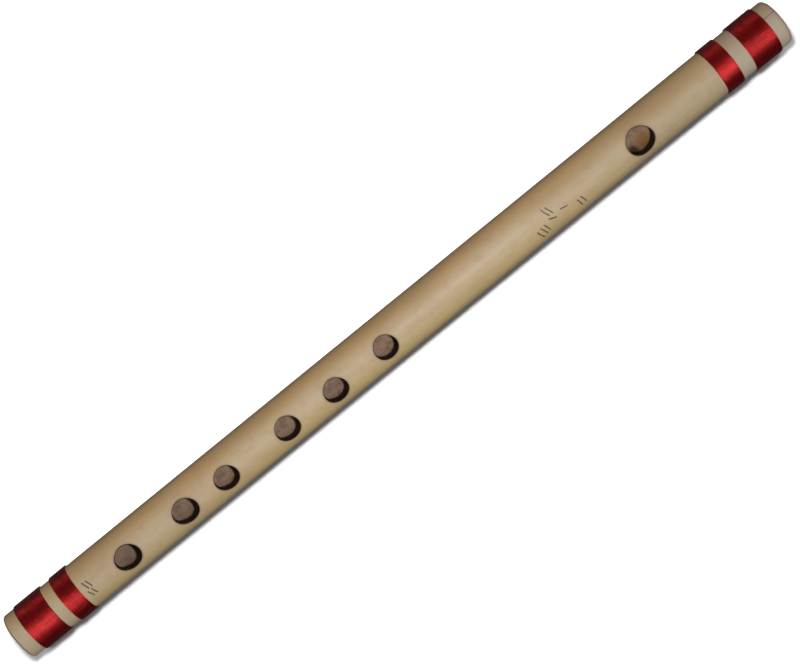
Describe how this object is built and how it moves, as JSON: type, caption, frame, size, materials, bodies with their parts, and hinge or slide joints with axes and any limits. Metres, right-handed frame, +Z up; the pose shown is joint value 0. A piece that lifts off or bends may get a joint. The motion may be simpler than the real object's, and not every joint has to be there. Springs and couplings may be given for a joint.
{
  "type": "bamboo flute",
  "caption": "Side-blown bamboo flute with a mouth hole, finger holes, thread bindings at both ends and a cork stopper that slides in the bore.",
  "frame": {"origin": "on the plane the flute lies on, below the middle of its length", "axes": "+X along the bore from the open foot to the head, +Z up through the mouth hole, +Y to the left of the line from foot to head"},
  "size_m": [0.3268, 0.0182, 0.0182],
  "materials": {
    "bamboo": "satin natural bamboo skin, holes burnt dark",
    "cork": "matt cut cork",
    "red_thread": "silky crimson thread wound in close turns"
  },
  "bodies": {
    "tube": {"bamboo_tube": "bamboo", "foot_wide_binding": "red_thread", "foot_narrow_binding": "red_thread", "head_narrow_binding": "red_thread", "head_wide_binding": "red_thread"},
    "stopper": {"stopper_cork": "cork"}
  },
  "joints": [
    {"name": "stopper_slide", "type": "slide", "parent": "tube", "child": "stopper", "axis": [1, 0, 0], "range_m": [-0.006, 0.034]}
  ]
}
